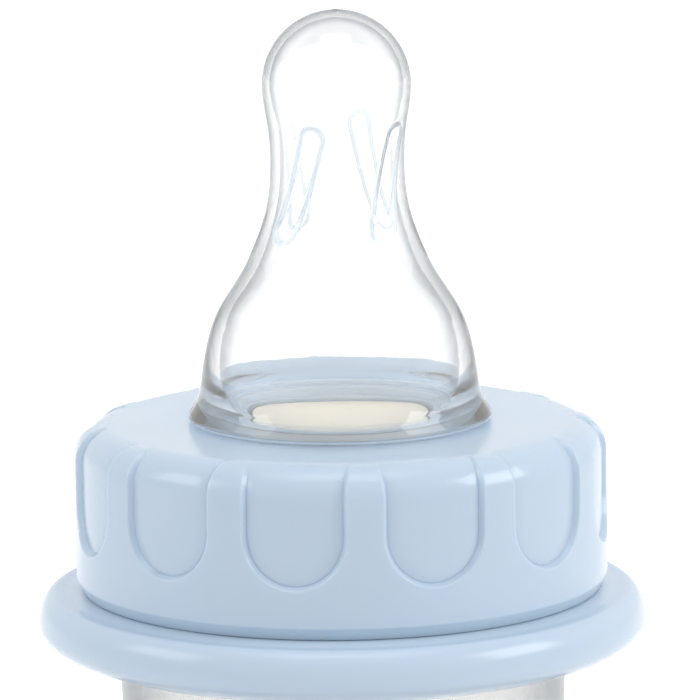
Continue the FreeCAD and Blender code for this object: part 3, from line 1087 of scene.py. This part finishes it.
@dataclass
class Teat:
    """The clear silicone teat, with four leaning pads inside its stem."""

    wardrobe: Wardrobe
    bulb_radius: float = 6.67
    waist: tuple[float, float] = (6.06, 25.2)  # radius, height above the ring
    stem: tuple[float, float] = (6.3, 19.85)
    flare: tuple[float, float] = (8.24, 14.4)
    crown: tuple[float, float] = (11.34, 9.0)
    cone: tuple[float, float] = (12.5, 3.6)  # the sharp edge above the foot
    cone_slope: float = 0.12  # outward for each step down, at that edge
    foot_skin: tuple[tuple[float, float], ...] = ((12.72, 2.5), (13.12, 1.5), (13.59, 0.85))
    foot_radius: float = 13.65
    foot_edge: float = 0.6  # height at which the foot is widest
    foot_round: float = 0.35
    bulb_wall: float = 0.7
    stem_wall: float = 0.9
    cone_wall: float = 1.2
    foot_bore: tuple[float, float] = (10.55, 1.2)  # where the cone's inside meets the thick foot
    bore_slope: float = -0.25
    step: tuple[float, float] = (9.8, 0.25)  # inner edge of the step below it
    throat: tuple[float, float] = (9.1, -0.85)
    throat_foot: float = 0.1  # height of the last straight stretch above the flange's underside
    step_round: float = 0.15  # how far the round of each inner corner reaches
    gap: float = 0.2  # foot above ring, flange below it
    groove_radius: float = 12.5  # where the teat passes through the ring
    ring_wall: float = 1.8
    flange_edge: float = 0.3
    tip_radius: float = 0.75
    tip_round: float = 0.12
    tip_drop: float = 0.02
    feed_hole: float = 0.25
    pads: int = 4
    pad_length: float = 10.8
    pad_half_width: float = 1.0
    pad_thickness: float = 0.15
    pad_edge: float = 0.35
    # slight haze in the foot, tinted with a painted reflection of the blue ring
    foot_haze: float = 0.04
    foot_fade: float = 2.0  # how far above the cone's edge it ends
    seat_haze: float = 0.6  # where the silicone sits in the ring: haze with a painted reflection of the ring's blue
    seat_fade: tuple[float, float] = (0.1, 0.5)  # above the foot's underside
    edge_haze: float = 0.66  # painted lines along the pads' outlines, in place of the light that their edges bend
    edge_fade: tuple[float, float] = (0.06, 0.32)  # how far the painted lines reach, to each side of the outline
    pad_lean: float = 15.0
    pad_height: float = 21.8
    first_pad: float = -127.0
    bulb_steps: int = 32
    skin_steps: int = 12  # outside, from one shaping point to the next
    pad_steps: int = 30  # inside, where the pads need a finer mesh
    columns: int = 300

    def __post_init__(self) -> None:
        """Read the teat's place from the frame."""
        self.flange_radius, self.bottom, self.tip = node_span("teat")
        self.ring_top = node_span("screw_ring")[2]

    def above(self, spot: tuple[float, float], skin: float = 0.0) -> tuple[float, float]:
        """Lift a point given above the ring, drawn in by a skin."""
        return spot[0] - skin, spot[1] + self.ring_top

    def side(
        self, skin: tuple[float, float, float], low: tuple[float, float], slope: float, steps: int
    ) -> Outline:
        """Run down the teat from the bulb's widest point.

        Args:
            skin: How far the bulb, the stem and the cone are drawn in.
            low: The lowest point.
            slope: How far the outline runs outward there for each step down.
            steps: Steps from one shaping point to the next.

        Returns:
            The points.
        """
        bulb, stem, cone = skin
        points = [
            (self.bulb_radius - bulb, self.tip - self.bulb_radius),
            self.above(self.waist, stem),
            self.above(self.stem, stem),
            self.above(self.flare, cone),
            self.above(self.crown, cone),
            low,
        ]
        return flowing(points, Vector((0, -1)), Vector((slope, -1)), steps)

    def pad_reach(self, angle: float, height: float) -> float:
        """Tell how far a place on the inner surface lies from the nearest pad's middle line.

        Args:
            angle: Direction of the place, in radians.
            height: Its height.

        Returns:
            The distance, which is half the pad's width at its outline.
        """
        up = height - self.ring_top - self.pad_height
        pitch = 2 * math.pi / self.pads
        off = (angle - math.radians(self.first_pad) + pitch / 2) % pitch - pitch / 2
        sideways = off * (self.waist[0] - self.stem_wall)
        lean = math.radians(self.pad_lean)
        along = up * math.cos(lean) + sideways * math.sin(lean)
        across = sideways * math.cos(lean) - up * math.sin(lean)
        beyond = max(abs(along) - self.pad_length / 2 + self.pad_half_width, 0.0)
        return math.hypot(across, beyond)

    def pad_relief(self, angle: float, height: float) -> float:
        """Tell what to add to the inner surface's radius: nothing, or minus the pad's thickness."""
        low, high = self.pad_half_width - self.pad_edge, self.pad_half_width + self.pad_edge
        return -self.pad_thickness * (1 - eased(self.pad_reach(angle, height), low, high))

    def haze(self, place: Vector) -> float:
        """Tell how milky the silicone is and how much painted light it takes: haze with a painted reflection
        of the ring in its foot and seat, and painted lines along the pads' outlines.

        Args:
            place: A place on its surface.

        Returns:
            The value, from 0 to 1.
        """
        up = place.z - self.ring_top
        thick = self.foot_haze * (1 - eased(up, self.foot_bore[1], self.cone[1] + self.foot_fade))
        low, high = (self.gap + fade for fade in self.seat_fade)
        thick = max(thick, self.seat_haze * (1 - eased(up, low, high)))
        reach = math.hypot(place.x, place.y)
        if abs(up - self.pad_height) > self.pad_length or reach > self.wall_middle(up):
            return thick
        off = abs(self.pad_reach(math.atan2(place.y, place.x), place.z) - self.pad_half_width)
        return max(thick, self.edge_haze * (1 - eased(off, *self.edge_fade)))

    def wall_middle(self, up: float) -> float:
        """Find the radius halfway through the stem's wall, at a height above the ring."""
        spots = [self.waist, self.stem, self.flare]
        for (upper, high), (lower, low) in zip(spots, spots[1:]):
            if up >= low:
                share = min((high - up) / (high - low), 1.0)
                return upper + (lower - upper) * max(share, 0.0) - self.stem_wall / 2
        return self.flare[0] - self.stem_wall / 2

    def outside(self, centre: tuple[float, float]) -> Outline:
        """Run down the teat's outside, from the feed hole to the foot's underside.

        Args:
            centre: The bulb's centre.

        Returns:
            The points.
        """
        tip_height = self.tip - self.tip_drop
        tip_turn = math.degrees(math.acos(self.tip_radius / self.bulb_radius))
        outline = [(self.feed_hole, tip_height), (self.tip_radius - self.tip_round, tip_height)]
        outline += arc(centre, self.bulb_radius, tip_turn, 0, self.bulb_steps)
        outline += self.side((0, 0, 0), self.above(self.cone), self.cone_slope, self.skin_steps)[1:]
        outline += [self.above(spot) for spot in (*self.foot_skin, (self.foot_radius, self.foot_edge))]
        reach, low = self.foot_radius - self.foot_round, self.ring_top + self.gap
        return outline + arc((reach, low + self.foot_round), self.foot_round, 0, -90, 5)

    def seat(self) -> Outline:
        """Run through the ring's hole, round the clamped flange and up the throat.

        Returns:
            The points, up to where the cone's inside starts.
        """
        edge, flange_top = self.flange_edge, self.ring_top - self.ring_wall - self.gap
        outline = [(self.groove_radius, self.ring_top + self.gap), (self.groove_radius, flange_top)]
        outline += [(self.flange_radius - edge, flange_top), (self.flange_radius, flange_top - edge)]
        outline += [(self.flange_radius, self.bottom + edge), (self.flange_radius - edge, self.bottom)]
        outline += [(self.throat[0], self.bottom)]
        bore, step, throat = (self.above(spot) for spot in (self.foot_bore, self.step, self.throat))
        corners = [(throat[0], self.bottom + self.throat_foot), throat, (step[0], throat[1])]
        corners += [step, (bore[0], step[1]), bore]
        return outline + softened(corners, self.step_round)[:-1]

    def make(self) -> None:
        """Build and dress the teat."""
        centre = (0.0, self.tip - self.bulb_radius)
        outline = self.outside(centre) + self.seat()
        inside = len(outline)
        inner_bulb = self.bulb_radius - self.bulb_wall
        skins = (self.bulb_wall, self.stem_wall, self.cone_wall)
        outline += self.side(skins, self.above(self.foot_bore), self.bore_slope, self.pad_steps)[::-1]
        hole_turn = math.degrees(math.acos(self.feed_hole / inner_bulb))
        outline += arc(centre, inner_bulb, 0, hole_turn, self.pad_steps)[1:]
        piece = turn("teat_silicone", outline, self.columns, self.pad_relief, inside)
        mark(piece, "haze", self.haze)
        self.wardrobe.dress(piece, Finish.SILICONE, "feeding_top", "teat_silicone")
        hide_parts("teat")


@dataclass
class SealingDisc:
    """The cream disc between the teat and the rim."""

    wardrobe: Wardrobe
    thickness: float = 1.2
    boss_radius: float = 8.7
    lip_outside: float = 18.0
    lip_inside: float = 17.1
    lip_length: float = 2.4
    edge: float = 0.3
    columns: int = 160

    def make(self) -> None:
        """Build and dress the disc."""
        radius, low, high = node_span("sealing_disc")
        under = low + self.lip_length  # the plate's two faces
        over = under + self.thickness
        edge = self.edge
        outline = [(0.0, high), (self.boss_radius / 2, high)]
        outline += arc((self.boss_radius - edge, high - edge), edge, 90, 0, 5)
        outline += [(self.boss_radius, over + edge), (self.boss_radius + edge, over)]
        outline += arc((radius - edge, over - edge), edge, 90, 0, 4)
        outline += arc((radius - edge, under + edge), edge, 0, -90, 4)
        outline += [(self.lip_outside, under), (self.lip_outside, low + edge)]
        outline += [(self.lip_outside - edge, low), (self.lip_inside + edge, low)]
        outline += [(self.lip_inside, low + edge), (self.lip_inside, under - edge)]
        outline += [(self.lip_inside - edge, under), (self.boss_radius / 2, under), (0.0, under)]
        piece = turn("sealing_disc_plate", outline, self.columns)
        self.wardrobe.dress(piece, Finish.CREAM, "feeding_top", "cream_plastic")
        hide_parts("sealing_disc")


@dataclass
class BottleBody:
    """The milky bottle, with its thread and a printed scale."""

    wardrobe: Wardrobe
    wall: float = 1.3
    neck_radius: float = 20.0
    neck_wall: float = 1.6
    rim_edge: float = 0.3
    base_rise: float = 3.5
    dome_share: float = 0.8  # part of that rise halfway out
    dome_slope: float = 0.45  # down for each step out, at the foot
    foot: tuple[float, float] = (21.5, 25.0)  # the flat ring that it stands on
    base_corner: float = 5.0
    barrel_start: float = 3.0  # above the base's corner
    waist_depth: float = 2.4
    waist_bottom: float = 38.0
    waist_top_drop: float = 48.0
    shoulder_drop: float = 45.5
    neck_drop: float = 25.0
    shoulder_slope: float = 2.0  # inward for each step up, at the ledge
    ledge: float = 1.7
    neck_foot_skin: tuple[tuple[float, float], ...] = ((0.45, 0.55), (0.0, 1.1))  # above the ledge
    bead: float = 0.8
    bead_turn: float = 75.0  # half the bead's arc, in degrees
    bead_clear: float = 2.0  # bead up to the plain neck
    thread_drop: float = 1.9
    thread_turns: float = 1.5
    thread_lead: float = 4.0
    thread_root: float = 2.2
    thread_crest: float = 1.2
    columns: int = 224

    def __post_init__(self) -> None:
        """Read the bottle's place from the frame."""
        self.radius, _, self.rim = node_span("bottle_body")
        collar = node_span("collar")
        self.bead_height = (collar[1] + collar[2]) / 2

    def threads(self) -> dict[str, float]:
        """Give the heights that the neck's and the ring's threads share."""
        start = self.rim - self.thread_drop - self.thread_lead * self.thread_turns
        return {"neck_start": start, "lead": self.thread_lead}

    def side(self, wall: float, neck: float) -> Outline:
        """Run up the bottle from the middle of its base to its rim.

        Args:
            wall: How far it is drawn in.
            neck: The neck's radius there.

        Returns:
            The points.
        """
        barrel = self.radius - wall
        corner = self.base_corner
        low, high = self.waist_bottom, self.rim - self.waist_top_drop
        shoulder, neck_foot = self.rim - self.shoulder_drop, self.rim - self.neck_drop
        up, inward = Vector((0, 1)), Vector((-self.shoulder_slope, 1))
        dome = [(0.0, wall + self.base_rise), (self.foot[0] / 2, wall + self.dome_share * self.base_rise)]
        dome += [(self.foot[0], wall)]
        outline = flowing(dome, Vector((1, 0)), Vector((1, -self.dome_slope)), 12)
        outline += [(self.foot[1], wall)]
        outline += arc((self.radius - corner, corner), corner - wall, -90, 0, 12)
        outline += straight((barrel, corner + self.barrel_start), (barrel, low), 10)
        waist = [(barrel, low), (barrel - self.waist_depth, (low + high) / 2), (barrel, high)]
        outline += flowing(waist, up, up, 24)
        outline += flowing([(barrel, shoulder), (neck + self.ledge, neck_foot)], up, inward, 24)
        return outline + [(neck + out, neck_foot + rise) for out, rise in self.neck_foot_skin]

    def fill_height(self, volume: float) -> float:
        """Find how high a volume stands in the bottle.

        Args:
            volume: The volume in millilitres.

        Returns:
            The height of its surface.
        """
        side = self.side(self.wall, self.neck_radius - self.neck_wall)
        held = 0.0
        for (r0, h0), (r1, h1) in zip(side, side[1:]):
            slice_volume = math.pi * (r0 * r0 + r0 * r1 + r1 * r1) / 3 * (h1 - h0) / CUBIC_MM
            if held + slice_volume >= volume:
                return h0 + (h1 - h0) * (volume - held) / slice_volume
            held += slice_volume
        return self.rim

    def make_shell(self) -> bpy.types.Object:
        """Build the blown bottle without its thread.

        Returns:
            The new piece.
        """
        neck, inner_neck, edge = self.neck_radius, self.neck_radius - self.neck_wall, self.rim_edge
        outside = self.side(0.0, neck)
        outside += arc((neck, self.bead_height), self.bead, -self.bead_turn, self.bead_turn, 8)
        outside += straight((neck, self.bead_height + self.bead_clear), (neck, self.rim - edge), 6)
        inside = self.side(self.wall, inner_neck)
        inside += straight((inner_neck, self.bead_height), (inner_neck, self.rim - edge), 6)
        lip = [(neck - edge, self.rim), (inner_neck + edge, self.rim)]
        return turn("bottle_shell", outside + lip + inside[::-1], self.columns)

    def make(self) -> None:
        """Build and dress the bottle, its thread and its scale."""
        shell = self.make_shell()
        self.wardrobe.dress(shell, Finish.NATURAL, "bottle", "bottle_plastic")
        thread = Thread(
            "neck_thread",
            self.neck_radius,
            Facing.OUTWARD,
            root=self.thread_root,
            crest=self.thread_crest,
            turns=self.thread_turns,
            start=self.threads()["neck_start"],
            over_x=self.threads()["neck_start"],
            lead=self.thread_lead,
        ).make(self.wardrobe.material(Finish.NATURAL))
        self.wardrobe.dress(thread, Finish.NATURAL, "bottle", "bottle_plastic")
        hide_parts("bottle_body")
        PrintedScale(self.wardrobe, shell).make(self.fill_height)


@dataclass
class PrintedScale:
    """The scale printed on the bottle's front: a tick for each step of volume, and numbers."""

    wardrobe: Wardrobe
    shell: bpy.types.Object
    first: int = 30  # millilitres
    last: int = 240
    step: int = 10
    numbered: int = 30
    left: float = -8.0  # where each tick starts, along the bottle's skin
    short: float = 4.0
    long: float = 8.5
    tick_height: float = 0.4
    tick_columns: int = 12  # enough for a tick to follow the round skin
    figure_height: float = 4.6
    figure_gap: float = 1.2
    facing: float = -90.0  # degrees from +X
    ink: float = 0.05  # thickness of the film
    far: float = 1.5  # where the rays that find the skin start, in radii
    merge: float = 0.001  # corners of the film nearer than this are one

    def marks(self, fill_height: Callable[[float], float]) -> bpy.types.Mesh:
        """List the ticks as points, with the length of each.

        Args:
            fill_height: Tells how high a volume stands.

        Returns:
            A mesh of loose points, each at its tick's height.
        """
        volumes = range(self.first, self.last + 1, self.step)
        points = [(0.0, 0.0, fill_height(volume) * MM) for volume in volumes]
        mesh = bpy.data.meshes.new("scale_marks")
        mesh.from_pydata(points, [], [])
        lengths = mesh.attributes.new("tick_length", "FLOAT", "POINT")
        lengths.data.foreach_set(
            "value", [(self.short if volume % self.numbered else self.long) * MM for volume in volumes]
        )
        return mesh

    def ticks(self, recipe: NodeRecipe) -> bpy.types.Node:
        """Add one flat tick at each point.

        Args:
            recipe: The tree.

        Returns:
            The node that holds the ticks.
        """
        blank = recipe.node(
            "GeometryNodeMeshGrid",
            inputs={
                "Size X": 1.0,
                "Size Y": recipe.given("Tick Height"),
                "Vertices X": self.tick_columns,
                "Vertices Y": 2,
            },
        )
        upright = recipe.node(
            "GeometryNodeTransform",
            inputs={"Geometry": (blank, 0), "Translation": (0.5, 0, 0), "Rotation": (math.pi / 2, 0, 0)},
        )
        length = recipe.node(
            "GeometryNodeInputNamedAttribute", {"data_type": "FLOAT"}, {"Name": "tick_length"}
        )
        stretch = recipe.node("ShaderNodeCombineXYZ", inputs={0: (length, 0), 1: 1.0, 2: 1.0})
        placed = recipe.node(
            "GeometryNodeInstanceOnPoints",
            inputs={"Points": recipe.given("Geometry"), "Instance": (upright, 0), "Scale": (stretch, 0)},
        )
        left = recipe.node("ShaderNodeCombineXYZ", inputs={0: recipe.given("Left")})
        return recipe.node(
            "GeometryNodeTransform", inputs={"Geometry": (placed, 0), "Translation": (left, 0)}
        )

    def figures(self, recipe: NodeRecipe, fill_height: Callable[[float], float]) -> list[bpy.types.Node]:
        """Add the numbers beside the long ticks.

        Args:
            recipe: The tree.
            fill_height: Tells how high a volume stands.

        Returns:
            A node for each number.
        """
        nodes = []
        for volume in range(self.first, self.last + 1, self.numbered):
            letters = recipe.node(
                "GeometryNodeStringToCurves",
                {"align_x": "LEFT", "align_y": "MIDDLE"},
                {"String": str(volume), "Size": recipe.given("Figure Height")},
            )
            filled = recipe.node("GeometryNodeFillCurve", inputs={"Curve": (letters, 0)})
            fine = recipe.node("GeometryNodeSubdivideMesh", inputs={"Mesh": (filled, 0), "Level": 2})
            start = self.left + self.long + self.figure_gap
            place = (start * MM, 0, fill_height(volume) * MM)
            nodes.append(
                recipe.node(
                    "GeometryNodeTransform",
                    inputs={"Geometry": (fine, 0), "Translation": place, "Rotation": (math.pi / 2, 0, 0)},
                )
            )
        return nodes

    def wrap(self, recipe: NodeRecipe, flat: bpy.types.Node) -> bpy.types.Node:
        """Roll the flat print round the bottle and lay it on the skin.

        Args:
            recipe: The tree.
            flat: The node that holds the flat print, across X and up Z.

        Returns:
            The node that holds the laid print.
        """
        spot = recipe.node("GeometryNodeInputPosition")
        parts = recipe.node("ShaderNodeSeparateXYZ", inputs={0: (spot, 0)})
        rolled = recipe.math("DIVIDE", (parts, 0), recipe.given("Radius"))
        angle = recipe.math("ADD", rolled, recipe.given("Facing"))
        outward = recipe.node(
            "ShaderNodeCombineXYZ", inputs={0: recipe.math("COSINE", angle), 1: recipe.math("SINE", angle)}
        )
        inward = recipe.node("ShaderNodeVectorMath", {"operation": "SCALE"}, {0: (outward, 0), "Scale": -1.0})
        far = recipe.node(
            "ShaderNodeVectorMath", {"operation": "SCALE"}, {0: (outward, 0), "Scale": recipe.given("Far")}
        )
        level = recipe.node("ShaderNodeCombineXYZ", inputs={2: (parts, 2)})
        source = recipe.node("ShaderNodeVectorMath", {"operation": "ADD"}, {0: (far, 0), 1: (level, 0)})
        bottle = recipe.node("GeometryNodeObjectInfo", inputs={"Object": self.shell})
        hit = recipe.node(
            "GeometryNodeRaycast",
            inputs={
                "Target Geometry": (bottle, "Geometry"),
                "Source Position": (source, 0),
                "Ray Direction": (inward, 0),
                "Ray Length": recipe.given("Far"),
            },
        )
        return recipe.node(
            "GeometryNodeSetPosition", inputs={"Geometry": (flat, 0), "Position": (hit, "Hit Position")}
        )

    def make(self, fill_height: Callable[[float], float]) -> None:
        """Print the scale.

        Args:
            fill_height: Tells how high a volume stands in the bottle.
        """
        radius = node_span("bottle_body")[0]
        recipe = NodeRecipe(
            "printed_scale",
            {
                "Tick Height": self.tick_height * MM,
                "Figure Height": self.figure_height * MM,
                "Left": self.left * MM,
                "Radius": radius * MM,
                "Far": self.far * radius * MM,
                "Facing": math.radians(self.facing),
                "Ink": self.ink * MM,
            },
        )
        flat = recipe.node("GeometryNodeJoinGeometry")
        for part in [self.ticks(recipe), *self.figures(recipe, fill_height)]:
            recipe.tree.links.new(part.outputs[0], flat.inputs[0])
        real = recipe.node("GeometryNodeRealizeInstances", inputs={0: (flat, 0)})
        laid = self.wrap(recipe, real)
        raised = recipe.node(
            "GeometryNodeExtrudeMesh",
            inputs={"Mesh": (laid, 0), "Offset Scale": recipe.given("Ink"), "Individual": False},
        )
        back = recipe.node("GeometryNodeFlipFaces", inputs={0: (laid, 0)})
        both = recipe.node("GeometryNodeJoinGeometry", inputs={0: (raised, 0)})
        recipe.tree.links.new(back.outputs[0], both.inputs[0])
        closed = recipe.node(
            "GeometryNodeMergeByDistance", inputs={"Geometry": (both, 0), "Distance": self.merge * MM}
        )
        start = self.marks(fill_height)
        piece = recipe.run(closed, self.wardrobe.material(Finish.INK), start)
        self.wardrobe.dress(piece, Finish.INK, "bottle", "blue_plastic")


# --- The studio --------------------------------------------------------------------------------


def add_seen(tree: bpy.types.NodeTree) -> bpy.types.Node:
    """Tell rays that look at a surface from rays that only carry its light.

    Args:
        tree: The tree that gets the nodes.

    Returns:
        The node that is 1 for the camera's rays, in reflections and through clear walls.
    """
    path = add_node(tree, "ShaderNodeLightPath")
    seen = add_node(
        tree,
        "ShaderNodeMath",
        {"operation": "MAXIMUM"},
        {0: (path, "Is Camera Ray"), 1: (path, "Is Glossy Ray")},
    )
    return add_node(
        tree, "ShaderNodeMath", {"operation": "MAXIMUM"}, {0: (seen, 0), 1: (path, "Is Transmission Ray")}
    )


@dataclass(frozen=True)
class SoftBox:
    """One soft box, pointed at the middle of the ring's top."""

    name: str
    offset: tuple[float, float, float]  # from that middle, in millimetres
    size: tuple[float, float]  # width and height, in millimetres
    power: float  # watts

    def hang(self, middle: Vector) -> None:
        """Hang the box.

        Args:
            middle: The middle of the ring's flat top, in millimetres.
        """
        lamp = bpy.data.lights.new(self.name, "AREA")
        lamp.shape = "RECTANGLE"
        lamp.size, lamp.size_y = self.size[0] * MM, self.size[1] * MM
        lamp.energy = self.power
        place = middle + Vector(self.offset)
        box = bpy.data.objects.new(self.name, lamp)
        box.location = place * MM
        box.rotation_euler = (middle - place).to_track_quat("-Z", "Y").to_euler()
        bpy.context.scene.collection.objects.link(box)


@dataclass
class Studio:
    """A white table and backdrop, soft light from both sides, and the camera."""

    distance: float = 450.0  # camera to the middle of the ring's top
    pitch: float = 10.6  # degrees down to that point
    roll: float = -0.64
    aim: tuple[float, float] = (0.95, 6.2)  # right and up from there to the picture's middle
    lens: float = 257.0
    sensor: float = 36.0
    clip: tuple[float, float] = (0.01, 20.0)  # metres
    floor_size: float = 8.0  # metres
    floor_glow: float = 0.6  # added to the floor where it is seen, so that it stays white
    sky_light: float = 0.72  # the surroundings' strength as light; where seen, they are white
    bounces: int = 28  # the teat's thick foot turns light round inside it many times
    boxes: tuple[SoftBox, ...] = (
        SoftBox("left_box", (-490, -120, 290), (290, 250), 0.58),
        SoftBox("right_box", (490, -140, 280), (300, 260), 1.05),
        SoftBox("top_box", (0, -120, 620), (400, 300), 0.58),
    )

    def make_floor(self) -> None:
        """Lay the white floor, which keeps the object's shadow."""
        bpy.ops.mesh.primitive_plane_add(size=self.floor_size)
        floor = bpy.context.object
        floor.name = "studio_floor"
        material, tree = blank_material("white studio board")
        glow = add_node(
            tree,
            "ShaderNodeMath",
            {"operation": "MULTIPLY"},
            {0: (add_seen(tree), 0), 1: self.floor_glow},
        )
        board = add_node(tree, "ShaderNodeBsdfDiffuse", inputs={"Color": colour("F7F7F7")})
        light = add_node(tree, "ShaderNodeEmission", inputs={"Strength": (glow, 0)})
        both = add_node(tree, "ShaderNodeAddShader", inputs={0: (board, 0), 1: (light, 0)})
        add_node(tree, "ShaderNodeOutputMaterial", inputs={"Surface": (both, 0)})
        floor.data.materials.append(material)

    def make_world(self) -> None:
        """Make the surroundings: white where they are seen, softer as light."""
        world = bpy.data.worlds.new("white studio")
        bpy.context.scene.world = world
        world.use_nodes = True
        tree = world.node_tree
        tree.nodes.clear()
        level = add_node(
            tree,
            "ShaderNodeMapRange",
            inputs={"Value": (add_seen(tree), 0), "To Min": self.sky_light, "To Max": 1.0},
        )
        sky = add_node(
            tree, "ShaderNodeBackground", inputs={"Color": colour("FFFFFF"), "Strength": (level, 0)}
        )
        add_node(tree, "ShaderNodeOutputWorld", inputs={"Surface": (sky, 0)})

    def make_camera(self, middle: Vector) -> None:
        """Set the camera.

        Args:
            middle: The middle of the ring's flat top, in millimetres.
        """
        pitch = math.radians(self.pitch)
        forward = Vector((0, math.cos(pitch), -math.sin(pitch)))
        upward = Vector((0, math.sin(pitch), math.cos(pitch)))
        place = middle - forward * self.distance
        target = middle + Vector((self.aim[0], 0, 0)) + upward * self.aim[1]
        camera = bpy.data.objects.new("camera", bpy.data.cameras.new("camera"))
        camera.data.lens = self.lens
        camera.data.sensor_width = self.sensor
        camera.data.clip_start, camera.data.clip_end = self.clip
        camera.location = place * MM
        facing = (target - place).to_track_quat("-Z", "Y").to_matrix()
        camera.rotation_euler = (facing @ Matrix.Rotation(math.radians(self.roll), 3, "Z")).to_euler()
        bpy.context.scene.collection.objects.link(camera)
        bpy.context.scene.camera = camera

    def make(self) -> None:
        """Build the whole studio."""
        middle = Vector((0, 0, node_span("screw_ring")[2]))
        self.make_camera(middle)
        self.make_floor()
        self.make_world()
        for box in self.boxes:
            box.hang(middle)
        scene = bpy.context.scene
        scene.view_settings.view_transform = "Standard"
        scene.cycles.max_bounces = self.bounces
        scene.cycles.transmission_bounces = self.bounces


def main() -> None:
    """Build the bottle and its studio."""
    logging.basicConfig(level=logging.INFO, format="%(name)s: %(message)s")
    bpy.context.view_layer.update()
    wardrobe = Wardrobe()
    bottle = BottleBody(wardrobe)
    bottle.make()
    Collar(wardrobe).make()
    SealingDisc(wardrobe).make()
    Teat(wardrobe).make()
    ScrewRing(wardrobe).make(bottle.threads())
    Studio().make()


if __name__ == "__main__":
    main()
